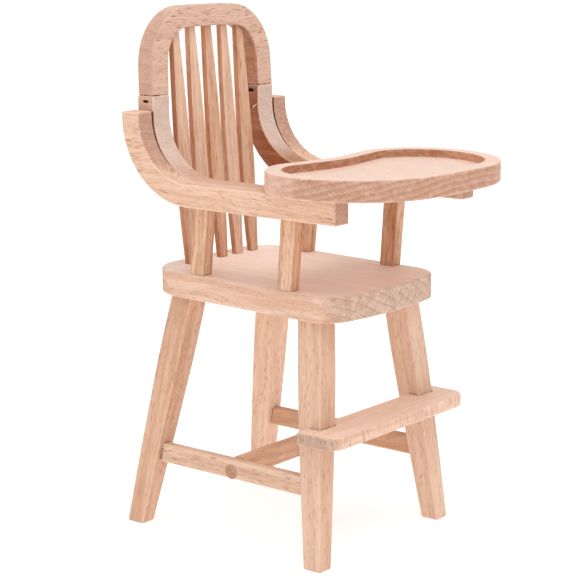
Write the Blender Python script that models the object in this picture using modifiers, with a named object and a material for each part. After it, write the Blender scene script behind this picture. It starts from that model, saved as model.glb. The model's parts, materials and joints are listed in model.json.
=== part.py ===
"""Dollhouse high chair: a small glued chair of unfinished beech, fixed together with no moving piece.

Metres, +Z up. The chair faces -Y, and the sitter's right hand is on -X. The origin lies on the floor,
under the middle of the whole chair. Inside the file every place is measured from the middle of the
seat's posts, and one empty at the end shifts the chair onto its origin.
"""
import math

import bmesh
import bpy
from mathutils import Matrix, Vector

# Clearances that the pieces share
glue_gap = 0.0003
tenon_clearance = 0.0002
cut_overrun = 0.002

# Seat plank, which slopes down a little towards the front
seat_top = 0.04985
seat_slope = 0.018
seat_thickness = 0.0046
seat_width = 0.0349
seat_front = 0.0227
seat_front_corner = 0.0207
seat_back = 0.0230
seat_front_radius = 0.0060
seat_rear_radius = 0.0074
seat_front_bulge_radius = 0.060

# Legs, each with its foot and its top placed by itself
leg_foot_width = 0.0034
leg_foot_depth = 0.0038
leg_swell_width = 0.0048
leg_swell_depth = 0.0052
leg_swell_height = 0.034
leg_top_width = 0.0047
leg_top_depth = 0.0051
leg_chamfer = 0.0004
front_leg_inset = 0.0044
front_leg_splay = 0.00575
front_foot_forward = 0.0192
front_top_forward = 0.01445
rear_leg_inset = 0.00465
rear_leg_splay = 0.0058
rear_foot_back = 0.0244
rear_top_back = 0.0161
leg_tenon_radius = 0.0013
leg_tenon_length = 0.0024
leg_tenon_root = 0.0024

# Stretchers
stretcher_bottom = 0.0126
stretcher_height = 0.0036
side_stretcher_thickness = 0.0021
cross_stretcher_thickness = 0.0025
cross_stretcher_back = 0.0018
cross_tenon_radius = 0.0012
cross_tenon_height = 0.0139

# Footrest board
footrest_overhang = 0.0025
footrest_depth = 0.0085
footrest_thickness = 0.0024
footrest_top = 0.0256
footrest_front = 0.0248
footrest_corner_radius = 0.0034

# Arm posts
post_width = 0.0025
post_foot_depth = 0.0032
post_top_depth = 0.0034
post_chamfer = 0.0002
post_inset = 0.0017
front_post_foot_forward = 0.0101
front_post_top_forward = 0.0110
rear_post_foot_back = 0.0106
rear_post_top_back = 0.0095

# Arms and back rails, which share one bend
arm_top = 0.0677
arm_height = 0.0043
arm_bend_radius = 0.0115
arm_thickness = 0.00385
arm_front = 0.0250
arm_tip_height = 0.0800
rail_face_back = 0.0204
rail_overhang = 0.0006
rail_thickness = 0.0046
rail_depth = 0.0040
rail_front = 0.0161
rail_tip_height = 0.0827

# Back bow
bow_top = 0.0989
bow_crown_height = 0.0040
bow_leg_width = 0.0046
bow_depth = 0.0037
bow_set_back = 0.0001
bow_waist_draw = 0.0005
bow_outer_radius = 0.0111
bow_inner_radius = 0.0063
bow_lean = math.radians(2.6)

# Spindles of the back
spindle_count = 5
spindle_end_gap = 0.00325
spindle_foot_back = 0.01895
spindle_slope = 0.085
spindle_foot_width = 0.0020
spindle_belly_width = 0.0036
spindle_neck_width = 0.0016
spindle_thickness = 0.0013
spindle_chamfer = 0.0002
spindle_belly_height = 0.068
spindle_tenon_length = 0.0016

# Tray
tray_overhang = 0.0035
tray_depth = 0.0325
tray_front = 0.0367
tray_thickness = 0.0038
tray_rim = 0.0029
tray_pocket_depth = 0.0016

# Brads through the tops of the back rails
brad_width = 0.0013
brad_height = 0.0005
brad_sink = 0.0003
brad_back = 0.0224
brad_drop = 0.0011
brad_clearance = 0.0001

# Rounding of the sawn edges and of drawn arcs
soft_edge = 0.00022
soft_edge_angle = math.radians(60)
arc_step = math.radians(9)
weld_distance = 0.00001
flat_angle = math.radians(0.5)
round_sides = 20

# Heights and places that follow from the sizes above
front_top_half_span = seat_width / 2 - front_leg_inset
front_foot_half_span = front_top_half_span + front_leg_splay
rear_top_half_span = seat_width / 2 - rear_leg_inset
rear_foot_half_span = rear_top_half_span + rear_leg_splay
footrest_width = (front_foot_half_span + footrest_overhang) * 2
post_half_span = seat_width / 2 - post_inset
rail_half_span = post_half_span + post_width / 2 + rail_overhang
bow_waist_half = rail_half_span - bow_waist_draw
bow_opening = (bow_waist_half - bow_leg_width) * 2
spindle_spacing = (bow_opening - spindle_end_gap * 2) / (spindle_count - 1)
tray_width = (rail_half_span + glue_gap + arm_thickness + tray_overhang) * 2
arm_underside = arm_top - arm_height
post_top = arm_underside - glue_gap
bow_foot = rail_tip_height + glue_gap
tray_bottom = arm_top + glue_gap

parts = bpy.data.collections.new("dollhouse_high_chair")
cutters = bpy.data.collections.new("cutters")


def clear_scene():
    for old in list(bpy.data.objects):
        bpy.data.objects.remove(old)
    bpy.context.scene.collection.children.link(parts)
    bpy.context.scene.collection.children.link(cutters)


def plain_material(name, colour, roughness, metallic=0):
    material = bpy.data.materials.new(name)
    material.use_nodes = True
    shader = material.node_tree.nodes["Principled BSDF"]
    shader.inputs["Base Color"].default_value = (*colour, 1)
    shader.inputs["Roughness"].default_value = roughness
    shader.inputs["Metallic"].default_value = metallic
    return material


def add_part(name, mesh, material):
    mesh.materials.clear()
    mesh.materials.append(material)
    part = bpy.data.objects.new(name, mesh)
    parts.objects.link(part)
    return part


def add_cutter(name, mesh):
    cutter = bpy.data.objects.new(name, mesh)
    cutter.display_type = "WIRE"
    cutter.hide_render = True
    cutters.objects.link(cutter)
    return cutter


def boolean(part, tool, operation):
    modifier = part.modifiers.new(operation.lower() + "_" + tool.name, "BOOLEAN")
    modifier.operation = operation
    modifier.object = tool


def soften_edges(part):
    modifier = part.modifiers.new("soft_edge", "BEVEL")
    modifier.width = soft_edge
    modifier.segments = 1
    modifier.limit_method = "ANGLE"
    modifier.angle_limit = soft_edge_angle


def finish_mesh(name, shape):
    mesh = bpy.data.meshes.new(name)
    bmesh.ops.recalc_face_normals(shape, faces=shape.faces)
    shape.to_mesh(mesh)
    shape.free()
    return mesh


def box_mesh(name, size, centre):
    shape = bmesh.new()
    bmesh.ops.create_cube(shape, size=1, matrix=Matrix.LocRotScale(centre, None, size))
    return finish_mesh(name, shape)


def rod_mesh(name, radius, length, centre, axis):
    """Round rod with its middle at centre, along X or Z."""
    turn = Matrix.Rotation(math.pi / 2, 4, "Y") if axis == "X" else Matrix.Identity(4)
    shape = bmesh.new()
    bmesh.ops.create_cone(
        shape, cap_ends=True, segments=round_sides, radius1=radius, radius2=radius, depth=length,
        matrix=Matrix.Translation(centre) @ turn)
    mesh = finish_mesh(name, shape)
    mesh.shade_smooth()
    mesh.set_sharp_from_angle(angle=soft_edge_angle)
    return mesh


def bar_mesh(name, stations, chamfer, grow=0):
    """Bar with level ends. A station is its height, centre x, centre y, width and depth."""
    heights = [station[0] for station in stations]
    shape = bmesh.new()
    bmesh.ops.create_cube(shape, size=1)
    for vertex in shape.verts:
        vertex.co.z = heights[-1] if vertex.co.z > 0 else heights[0]
    for height in heights[1:-1]:
        everything = shape.verts[:] + shape.edges[:] + shape.faces[:]
        bmesh.ops.bisect_plane(shape, geom=everything, plane_co=(0, 0, height), plane_no=(0, 0, 1))
    for vertex in shape.verts:
        height, x, y, width, depth = min(stations, key=lambda station: abs(station[0] - vertex.co.z))
        vertex.co.x = x + math.copysign(width / 2 + grow, vertex.co.x)
        vertex.co.y = y + math.copysign(depth / 2 + grow, vertex.co.y)
        vertex.co.z = height
    long_edges = [edge for edge in shape.edges if edge.verts[0].co.z != edge.verts[1].co.z]
    bmesh.ops.bevel(shape, geom=long_edges, offset=chamfer, segments=1, affect="EDGES")
    return finish_mesh(name, shape)


def rounded(corners):
    """Outline through the corners, each (x, y, radius), with an arc at each corner that has a radius."""
    outline = []
    for index, (x, y, radius) in enumerate(corners):
        here = Vector((x, y))
        if radius == 0:
            outline.append(here)
            continue
        before = (Vector(corners[index - 1][:2]) - here).normalized()
        after = (Vector(corners[(index + 1) % len(corners)][:2]) - here).normalized()
        half_angle = before.angle(after) / 2
        middle = here + (before + after).normalized() * radius / math.sin(half_angle)
        start = here + before * radius / math.tan(half_angle) - middle
        end = here + after * radius / math.tan(half_angle) - middle
        turn = -start.angle_signed(end)
        steps = max(2, math.ceil(abs(turn) / arc_step))
        outline += [middle + Matrix.Rotation(turn * step / steps, 2) @ start for step in range(steps + 1)]
    return outline


def mirrored(half):
    """Corners of a whole outline from those of its +X half, listed from the middle round to the middle."""
    other = [(-x, y, radius) for x, y, radius in reversed(half) if x > 0]
    return half + other


def inset(outline, distance):
    """The same outline, drawn in by a distance. The outline runs clockwise."""
    moved = []
    for index, point in enumerate(outline):
        back = (point - outline[index - 1]).normalized()
        ahead = (outline[(index + 1) % len(outline)] - point).normalized()
        along = (back + ahead).normalized()
        inward = Vector((along.y, -along.x))
        moved.append(point + inward * distance / back.dot(along))
    return moved


def plate_mesh(name, outline, thickness, placement):
    """Flat piece of a 2D curve, as thick as it says, with its middle plane placed by a matrix."""
    curve = bpy.data.curves.new(name, "CURVE")
    curve.dimensions = "2D"
    curve.fill_mode = "BOTH"
    curve.extrude = thickness / 2
    spline = curve.splines.new("POLY")
    spline.points.add(len(outline) - 1)
    for point, (x, y) in zip(spline.points, outline):
        point.co = (x, y, 0, 1)
    spline.use_cyclic_u = True
    drawn = bpy.data.objects.new(name, curve)
    cutters.objects.link(drawn)
    drawn.matrix_world = placement
    bpy.context.view_layer.update()
    evaluated = drawn.evaluated_get(bpy.context.evaluated_depsgraph_get())
    solid = bpy.data.meshes.new_from_object(evaluated)
    solid.transform(drawn.matrix_world)
    bpy.data.objects.remove(drawn)
    shape = bmesh.new()
    shape.from_mesh(solid)
    bmesh.ops.remove_doubles(shape, verts=shape.verts, dist=weld_distance)
    bmesh.ops.dissolve_limit(shape, angle_limit=flat_angle, verts=shape.verts, edges=shape.edges)
    mesh = finish_mesh(name, shape)
    mesh.shade_smooth()
    mesh.set_sharp_from_angle(angle=soft_edge_angle)
    return mesh


def level_plane(height):
    """Outline x and y become world X and Y, with the middle plane at a height."""
    return Matrix.Translation((0, 0, height))


def side_plane(x):
    """Outline x and y become world Y and Z, with the middle plane at x."""
    turn = Matrix.Rotation(math.pi / 2, 4, "Z") @ Matrix.Rotation(math.pi / 2, 4, "X")
    return Matrix.Translation((x, 0, 0)) @ turn


def on_seat(y):
    """Height of the seat's sloping top at a place behind the middle."""
    return seat_top + y * seat_slope


def under_seat(y):
    return on_seat(y) - seat_thickness


def leg_stations(side, end):
    """Sections of a leg, from foot to top. The side is -1 or 1, the end is front or rear."""
    if end == "front":
        foot = (front_foot_half_span * side, -front_foot_forward)
        top = (front_top_half_span * side, -front_top_forward)
    else:
        foot = (rear_foot_half_span * side, rear_foot_back)
        top = (rear_top_half_span * side, rear_top_back)
    leg_top = under_seat(top[1]) - glue_gap
    sizes = (
        (0, leg_foot_width, leg_foot_depth),
        (leg_swell_height, leg_swell_width, leg_swell_depth),
        (leg_top, leg_top_width, leg_top_depth))
    stations = []
    for height, width, depth in sizes:
        x, y = Vector(foot).lerp(Vector(top), height / leg_top)
        stations.append((height, x, y, width, depth))
    return stations


def leg_section(side, end, height):
    """Centre x, centre y, width and depth of a leg at a height below its swell."""
    foot, swell = leg_stations(side, end)[:2]
    share = height / leg_swell_height
    return Vector(foot[1:]).lerp(Vector(swell[1:]), share)


def make_seat(material):
    half = [
        (0, -seat_front, seat_front_bulge_radius),
        (seat_width / 2, -seat_front_corner, seat_front_radius),
        (seat_width / 2, seat_back, seat_rear_radius)]
    mesh = plate_mesh("seat", rounded(mirrored(half)), seat_thickness, level_plane(-seat_thickness / 2))
    slope = Matrix.Identity(4)
    slope[2][1] = seat_slope
    mesh.transform(Matrix.Translation((0, 0, seat_top)) @ slope)
    seat = add_part("seat", mesh, material)
    soften_edges(seat)
    for side, hand in sides:
        for end in ("front", "rear"):
            x, y = leg_stations(side, end)[-1][1:3]
            depth = leg_tenon_length + tenon_clearance
            centre = (x, y, under_seat(y) + (depth - cut_overrun) / 2)
            name = f"socket_{end}_{hand}"
            radius = leg_tenon_radius + tenon_clearance
            socket = rod_mesh(name, radius, depth + cut_overrun, centre, "Z")
            boolean(seat, add_cutter(name, socket), "DIFFERENCE")


def make_legs(material):
    for side, hand in sides:
        for end in ("front", "rear"):
            stations = leg_stations(side, end)
            name = f"leg_{end}_{hand}"
            leg = add_part(name, bar_mesh(name, stations, leg_chamfer), material)
            x, y = stations[-1][1:3]
            length = leg_tenon_length + glue_gap + leg_tenon_root
            centre = (x, y, under_seat(y) + leg_tenon_length - length / 2)
            tenon = rod_mesh(name + "_tenon", leg_tenon_radius, length, centre, "Z")
            boolean(leg, add_cutter(name + "_tenon", tenon), "UNION")


def make_stretchers(side_material, cross_material):
    middle = stretcher_bottom + stretcher_height / 2
    reach = 0
    for side, hand in sides:
        front = leg_section(side, "front", middle)
        rear = leg_section(side, "rear", middle)
        x = (front[0] + rear[0]) / 2
        reach = abs(x)
        shape = bmesh.new()
        bmesh.ops.create_cube(shape, size=1)
        for vertex in shape.verts:
            height = middle + math.copysign(stretcher_height / 2, vertex.co.z)
            if vertex.co.y < 0:
                leg = leg_section(side, "front", height)
                vertex.co.y = leg[1] + leg[3] / 2 + glue_gap
            else:
                leg = leg_section(side, "rear", height)
                vertex.co.y = leg[1] - leg[3] / 2 - glue_gap
            vertex.co.x = x + math.copysign(side_stretcher_thickness / 2, vertex.co.x)
            vertex.co.z = height
        name = f"side_stretcher_{hand}"
        stretcher = add_part(name, finish_mesh(name, shape), side_material)
        soften_edges(stretcher)
        centre = (x, cross_stretcher_back, cross_tenon_height)
        length = side_stretcher_thickness + cut_overrun
        bore = rod_mesh(f"bore_{hand}", cross_tenon_radius + tenon_clearance, length, centre, "X")
        boolean(stretcher, add_cutter(f"bore_{hand}", bore), "DIFFERENCE")
    shoulder = reach - side_stretcher_thickness / 2 - glue_gap
    size = (shoulder * 2, cross_stretcher_thickness, stretcher_height)
    bar = box_mesh("cross_stretcher", size, (0, cross_stretcher_back, middle))
    cross = add_part("cross_stretcher", bar, cross_material)
    soften_edges(cross)
    centre = (0, cross_stretcher_back, cross_tenon_height)
    length = reach * 2 + side_stretcher_thickness
    tenon = add_cutter("cross_tenon", rod_mesh("cross_tenon", cross_tenon_radius, length, centre, "X"))
    boolean(cross, tenon, "UNION")


def make_footrest(material):
    back = -footrest_front + footrest_depth
    half = [
        (0, -footrest_front, 0),
        (footrest_width / 2, -footrest_front, footrest_corner_radius),
        (footrest_width / 2, back, 0)]
    outline = rounded(mirrored(half)[1:])
    place = level_plane(footrest_top - footrest_thickness / 2)
    footrest = add_part("footrest", plate_mesh("footrest", outline, footrest_thickness, place), material)
    soften_edges(footrest)
    for side, hand in sides:
        name = f"notch_{hand}"
        notch = bar_mesh(name, leg_stations(side, "front"), leg_chamfer, glue_gap)
        boolean(footrest, add_cutter(name, notch), "DIFFERENCE")


def make_posts(material):
    places = {
        "front": (-front_post_foot_forward, -front_post_top_forward),
        "rear": (rear_post_foot_back, rear_post_top_back)}
    for side, hand in sides:
        for end, (foot, top) in places.items():
            stations = [
                (on_seat(foot) + glue_gap, post_half_span * side, foot, post_width, post_foot_depth),
                (post_top, post_half_span * side, top, post_width, post_top_depth)]
            name = f"arm_post_{end}_{hand}"
            add_part(name, bar_mesh(name, stations, post_chamfer), material)


def bent_outline(front, tip_height, tip_depth):
    """Side view of an arm or a rail: level from its front end, then bent up to its tip."""
    back = rail_face_back + tip_depth
    return rounded([
        (-front, arm_underside, 0),
        (-front, arm_top, 0),
        (rail_face_back, arm_top, arm_bend_radius),
        (rail_face_back, tip_height, 0),
        (back, tip_height, 0),
        (back, arm_underside, arm_bend_radius + arm_height)])


def make_arms(arm_material, rail_material):
    for side, hand in sides:
        x = (rail_half_span + glue_gap + arm_thickness / 2) * side
        name = f"arm_{hand}"
        outline = bent_outline(arm_front, arm_tip_height, arm_height)
        arm = add_part(name, plate_mesh(name, outline, arm_thickness, side_plane(x)), arm_material)
        soften_edges(arm)
        x = (rail_half_span - rail_thickness / 2) * side
        name = f"back_rail_{hand}"
        outline = bent_outline(rail_front, rail_tip_height, rail_depth)
        rail = add_part(name, plate_mesh(name, outline, rail_thickness, side_plane(x)), rail_material)
        soften_edges(rail)
        grow = brad_clearance * 2
        size = (rail_thickness + cut_overrun, brad_width + grow, brad_height + grow)
        slot = add_cutter(f"brad_slot_{hand}", box_mesh(f"brad_slot_{hand}", size, brad_centre(side)))
        boolean(rail, slot, "DIFFERENCE")


def brad_centre(side):
    x = (rail_half_span - rail_thickness / 2) * side
    return Vector((x, brad_back, rail_tip_height - brad_drop))


def make_brads(material):
    for side, hand in sides:
        size = (rail_thickness - brad_sink * 2, brad_width, brad_height)
        name = f"brad_{hand}"
        add_part(name, box_mesh(name, size, brad_centre(side)), material)


def make_bow(material):
    half = [
        (bow_waist_half, bow_top, bow_outer_radius),
        (rail_half_span, bow_foot, 0),
        (rail_half_span - bow_leg_width, bow_foot, 0),
        (bow_opening / 2, bow_top - bow_crown_height, bow_inner_radius)]
    outline = rounded(mirrored(half))
    middle = rail_face_back + bow_set_back + bow_depth / 2
    facing = Matrix.Rotation(math.pi / 2, 4, "X")
    lean = Matrix.Identity(4)
    lean[1][2] = math.tan(bow_lean)
    lift = Matrix.Translation((0, 0, bow_foot))
    place = Matrix.Translation((0, middle, 0)) @ facing
    mesh = plate_mesh("back_bow", outline, bow_depth, place)
    mesh.transform(lift @ lean @ lift.inverted())
    bow = add_part("back_bow", mesh, material)
    soften_edges(bow)
    for number in range(spindle_count):
        name = f"mortise_{number + 1}"
        cutter = bar_mesh(name, spindle_stations(number, tenon_clearance), spindle_chamfer, tenon_clearance)
        boolean(bow, add_cutter(name, cutter), "DIFFERENCE")


def arch_height(x):
    """Height of the bow's inner edge above the floor, at a distance from the middle."""
    corner = bow_opening / 2 - bow_inner_radius
    crown = bow_top - bow_crown_height
    past = max(0, abs(x) - corner)
    return crown - bow_inner_radius + math.sqrt(bow_inner_radius ** 2 - past ** 2)


def spindle_stations(number, extra=0):
    """Sections of a spindle from the seat up into the bow, with some extra length at its top."""
    x = (number - (spindle_count - 1) / 2) * spindle_spacing
    tip = arch_height(x) + spindle_tenon_length + extra
    foot = on_seat(spindle_foot_back) + glue_gap
    sizes = (
        (foot, spindle_foot_width),
        (spindle_belly_height, spindle_belly_width),
        (tip, spindle_neck_width))
    stations = []
    for height, width in sizes:
        y = spindle_foot_back + (height - foot) * spindle_slope
        stations.append((height, x, y, width, spindle_thickness))
    return stations


def make_spindles(material):
    for number in range(spindle_count):
        name = f"spindle_{number + 1}"
        add_part(name, bar_mesh(name, spindle_stations(number), spindle_chamfer), material)


def tray_outline():
    """Bean outline, hollowed towards the sitter, drawn one deep and then stretched to its size."""
    side_share = 0.777
    corner_shares = [
        (0, 0.88, 0.66),
        (0.466, 0.96, 0.30),
        (side_share, 0.80, 0.38),
        (side_share, 0.05, 0.54),
        (0.155, 0, 0.77)]
    across = tray_width / 2 / side_share
    return [Vector((x * across, y * tray_depth - tray_front)) for x, y in rounded(mirrored(corner_shares))]


def make_tray(material):
    outline = tray_outline()
    place = level_plane(tray_bottom + tray_thickness / 2)
    tray = add_part("tray", plate_mesh("tray", outline, tray_thickness, place), material)
    soften_edges(tray)
    height = tray_pocket_depth + cut_overrun
    floor = tray_bottom + tray_thickness - tray_pocket_depth
    pocket = plate_mesh("pocket", inset(outline, tray_rim), height, level_plane(floor + height / 2))
    boolean(tray, add_cutter("pocket", pocket), "DIFFERENCE")


def put_on_origin():
    """Shift the chair so that the origin lies under the middle of its whole depth."""
    back = rear_foot_back + leg_foot_depth / 2
    root = bpy.data.objects.new("high_chair_root", None)
    parts.objects.link(root)
    root.location = (0, (tray_front - back) / 2, 0)
    for part in parts.objects:
        if part.type == "MESH":
            part.parent = root
    for cutter in cutters.objects:
        cutter.parent = root


sides = ((-1, "right"), (1, "left"))
clear_scene()
make_seat(plain_material("seat_beech", (0.79, 0.55, 0.41), 0.62))
make_legs(plain_material("leg_beech", (0.76, 0.49, 0.33), 0.60))
make_stretchers(
    plain_material("side_stretcher_beech", (0.74, 0.47, 0.32), 0.60),
    plain_material("cross_stretcher_beech", (0.72, 0.45, 0.30), 0.60))
make_footrest(plain_material("footrest_beech", (0.78, 0.52, 0.37), 0.60))
make_posts(plain_material("post_beech", (0.77, 0.50, 0.34), 0.60))
make_arms(
    plain_material("arm_beech", (0.80, 0.52, 0.36), 0.60),
    plain_material("rail_beech", (0.72, 0.48, 0.36), 0.64))
make_brads(plain_material("brad_steel", (0.05, 0.035, 0.03), 0.45, 0.8))
make_bow(plain_material("bow_beech", (0.76, 0.50, 0.37), 0.62))
make_spindles(plain_material("spindle_beech", (0.78, 0.51, 0.35), 0.60))
make_tray(plain_material("tray_beech", (0.83, 0.60, 0.47), 0.62))
put_on_origin()
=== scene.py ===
"""A small beech high chair for dolls.

Metres, +Z up. The chair faces -Y, and the sitter's right hand is on -X. The pieces come in the
order in which the chair is glued together, each with its wood, its mesh and its place.
"""

import json
import math

import bmesh
import bpy
from mathutils import Matrix, Vector

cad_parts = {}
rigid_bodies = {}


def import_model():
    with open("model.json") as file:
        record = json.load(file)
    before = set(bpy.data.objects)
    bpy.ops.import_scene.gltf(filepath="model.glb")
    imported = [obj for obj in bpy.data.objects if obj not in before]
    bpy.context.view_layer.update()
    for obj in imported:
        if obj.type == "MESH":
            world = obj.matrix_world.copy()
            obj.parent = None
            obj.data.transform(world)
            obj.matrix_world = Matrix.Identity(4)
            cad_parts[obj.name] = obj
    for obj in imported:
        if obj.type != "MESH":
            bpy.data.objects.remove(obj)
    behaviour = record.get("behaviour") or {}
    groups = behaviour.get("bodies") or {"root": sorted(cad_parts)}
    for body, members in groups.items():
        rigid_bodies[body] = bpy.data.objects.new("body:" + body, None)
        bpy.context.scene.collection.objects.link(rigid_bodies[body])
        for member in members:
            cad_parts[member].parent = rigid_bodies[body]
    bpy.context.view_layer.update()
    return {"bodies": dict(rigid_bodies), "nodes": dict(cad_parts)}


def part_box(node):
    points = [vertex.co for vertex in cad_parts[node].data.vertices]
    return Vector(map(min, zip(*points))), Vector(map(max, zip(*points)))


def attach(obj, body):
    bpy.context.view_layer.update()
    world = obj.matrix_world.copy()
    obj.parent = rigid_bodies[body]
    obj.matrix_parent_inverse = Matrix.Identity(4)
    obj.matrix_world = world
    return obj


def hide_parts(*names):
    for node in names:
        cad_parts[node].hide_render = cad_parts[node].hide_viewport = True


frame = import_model()


# Seat: one sawn plank of pale beech, its grain running from front to back, its four corners sawn
# round. Its top slopes down a little towards the front, and its front edge is bare end grain, with
# the growth rings slanting across it.

def add_inputs(tree, kind, **defaults):
    """Inputs of a tree, all of one kind. A name has _ for a space."""
    for name, value in defaults.items():
        socket = tree.interface.new_socket(
            name=name.replace("_", " "), in_out="INPUT", socket_type=kind)
        if value is not None:
            socket.default_value = value


def add_outputs(tree, **kinds):
    """Outputs of a tree, each with its kind."""
    for name, kind in kinds.items():
        tree.interface.new_socket(name=name, in_out="OUTPUT", socket_type=kind)


def add_node(tree, kind, settings=None, **inputs):
    """Node with its settings and inputs. An input is a value or another node's output.

    Its name has _ for a space, or is _0, _1 and so on for its place among the node's inputs.
    """
    node = tree.nodes.new(kind)
    for name, value in (settings or {}).items():
        setattr(node, name, value)
    for name, value in inputs.items():
        socket = node.inputs[int(name[1:]) if name[0] == "_" else name.replace("_", " ")]
        if isinstance(value, bpy.types.NodeSocket):
            tree.links.new(value, socket)
        else:
            socket.default_value = value
    return node


def add_math(tree, operation, first, second=0.0, third=0.0):
    """Result of an operation on numbers."""
    settings = {"operation": operation}
    return add_node(tree, "ShaderNodeMath", settings, _0=first, _1=second, _2=third).outputs[0]


def add_vector_math(tree, operation, first, second, third=(0, 0, 0)):
    """Result of an operation on vectors."""
    settings = {"operation": operation}
    return add_node(tree, "ShaderNodeVectorMath", settings, _0=first, _1=second, _2=third).outputs[0]


def add_mask(tree, value, low, high, slope="SMOOTHSTEP"):
    """Rise from 0, where a value is at low, to 1, where it is at high. Low may be the larger."""
    settings = {"interpolation_type": slope}
    node = add_node(tree, "ShaderNodeMapRange", settings, Value=value, From_Min=low, From_Max=high)
    return node.outputs["Result"]


def add_blend(tree, share, first, second, kind="MIX"):
    """Colour that is a share of the way from the first to the second."""
    settings = {"data_type": "RGBA", "blend_type": kind}
    return add_node(tree, "ShaderNodeMix", settings, _0=share, _6=first, _7=second).outputs[2]


def add_figure(tree, place, along_ring, across_ring, along_grain, detail, roughness):
    """Noise through the wood, with so many features to a millimetre in each direction."""
    stretched = add_vector_math(tree, "MULTIPLY", place, (across_ring, along_ring, along_grain))
    return add_node(
        tree, "ShaderNodeTexNoise", Vector=stretched, Scale=1.0, Detail=detail,
        Roughness=roughness).outputs


def make_sawn_beech():
    """Solid beech. Place is in millimetres from the pith, with the grain on Z and the growth along X.

    Rays are thin plates that reach out from the pith, so they show as dashes on a face that looks at
    the pith, as cross bars on a face beside it, and as fine lines on end grain.
    """
    tree = bpy.data.node_groups.new("sawn_beech", "ShaderNodeTree")
    add_inputs(tree, "NodeSocketVector", Place=None, Facing=None)
    add_inputs(
        tree, "NodeSocketFloat", Edge=0.0, Tone=0.0, Ring_spacing=2.4, Ring_line=0.3, Ring_shade=0.3,
        Streaks=0.5, Hairlines=0.5, Flecks=0.5, Fleck_length=1.8, Ray_depth=2.2, Ray_width=0.25,
        Ray_spread=1.0, Side_flecks=0.3, Calm=0.0, Hatch=0.35)
    add_inputs(
        tree, "NodeSocketColor", Light_wood=(0.82, 0.57, 0.42, 1), Dark_wood=(0.60, 0.33, 0.19, 1),
        Fleck_colour=(0.33, 0.12, 0.06, 1), Tone_colour=(0.74, 0.50, 0.35, 1),
        End_grain=(0.56, 0.38, 0.29, 1))
    add_outputs(
        tree, Colour="NodeSocketColor", Roughness="NodeSocketFloat", Height="NodeSocketFloat")
    given = tree.nodes.new("NodeGroupInput").outputs
    result = tree.nodes.new("NodeGroupOutput").inputs

    # The fibres wander a little from side to side on their way
    drift_width = 1.6
    drift = add_figure(tree, given["Place"], 0.12, 0.12, 0.09, 1.0, 0.4)["Color"]
    place = add_vector_math(tree, "MULTIPLY_ADD", drift, (drift_width, drift_width, 0), given["Place"])
    place = add_vector_math(tree, "SUBTRACT", place, (drift_width / 2, drift_width / 2, 0))

    # Growth rings: the distance from the pith, a little uneven, cut into years that darken outwards
    # and end in a thin line
    ring_wander = 2.2
    axes = add_node(tree, "ShaderNodeSeparateXYZ", Vector=place).outputs
    wander = add_figure(tree, place, 0.10, 0.07, 0.015, 3.0, 0.45)["Fac"]
    across = add_math(tree, "MULTIPLY", axes["X"], axes["X"])
    across = add_math(tree, "MULTIPLY_ADD", axes["Y"], axes["Y"], across)
    radius = add_math(tree, "SQRT", across)
    radius = add_math(tree, "MULTIPLY_ADD", wander, ring_wander, radius)
    year = add_math(tree, "FRACT", add_math(tree, "DIVIDE", radius, given["Ring spacing"]))
    line = add_math(tree, "MULTIPLY", add_mask(tree, year, 0.86, 0.95), add_mask(tree, year, 1.0, 0.97))
    line = add_math(tree, "MULTIPLY", line, given["Ring line"])
    shade = add_math(tree, "MULTIPLY", add_mask(tree, year, 0.10, 0.85), add_mask(tree, year, 1.0, 0.90))
    shade = add_math(tree, "MULTIPLY", shade, given["Ring shade"])

    # Fibres: long soft streaks, fine ones on them, dark hairlines, and a mottle of open pores
    hair_width = 0.035
    broad = add_mask(tree, add_figure(tree, place, 0.85, 0.70, 0.035, 2.0, 0.5)["Fac"], 0.34, 0.68)
    fibre = add_mask(tree, add_figure(tree, place, 3.0, 2.6, 0.17, 3.0, 0.6)["Fac"], 0.34, 0.68)
    pore = add_mask(tree, add_figure(tree, place, 4.5, 4.5, 0.9, 3.0, 0.7)["Fac"], 0.50, 0.66)
    hair = add_figure(tree, place, 3.6, 3.6, 0.13, 1.0, 0.5)["Fac"]
    hair = add_math(tree, "ABSOLUTE", add_math(tree, "SUBTRACT", hair, 0.5))
    hair = add_math(tree, "MULTIPLY", add_mask(tree, hair, hair_width, 0.0), broad)

    # Rays, of which most are dark enough to see, each with its own size and depth of colour, and the
    # hatch that their edges make on end grain
    upright = add_math(tree, "DIVIDE", axes["Z"], add_math(tree, "MULTIPLY", given["Fleck length"], 1.3))
    outward = add_math(tree, "DIVIDE", axes["X"], given["Ray depth"])
    aside = add_math(tree, "DIVIDE", axes["Y"], given["Ray width"])
    cells = add_node(tree, "ShaderNodeCombineXYZ", X=outward, Y=aside, Z=upright).outputs[0]
    ray = add_node(tree, "ShaderNodeTexVoronoi", Vector=cells, Scale=1.0, Randomness=1.0)
    chance = add_node(tree, "ShaderNodeSeparateColor", Color=ray.outputs["Color"]).outputs
    spread = add_math(tree, "MULTIPLY_ADD", chance["Red"], 0.34, 0.16)
    spread = add_math(tree, "MULTIPLY", spread, given["Ray spread"])
    core = add_math(tree, "MULTIPLY", spread, 0.45)
    fleck = add_mask(tree, ray.outputs["Distance"], spread, core)
    fleck = add_math(tree, "MULTIPLY", fleck, add_mask(tree, chance["Red"], 0.20, 0.40))
    depth = add_math(tree, "MULTIPLY_ADD", chance["Green"], 0.65, 0.4)
    fleck = add_math(tree, "MULTIPLY", fleck, depth)
    hatch = add_mask(tree, add_figure(tree, place, 5.5, 0.6, 0.8, 2.0, 0.6)["Fac"], 0.44, 0.66)

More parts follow.
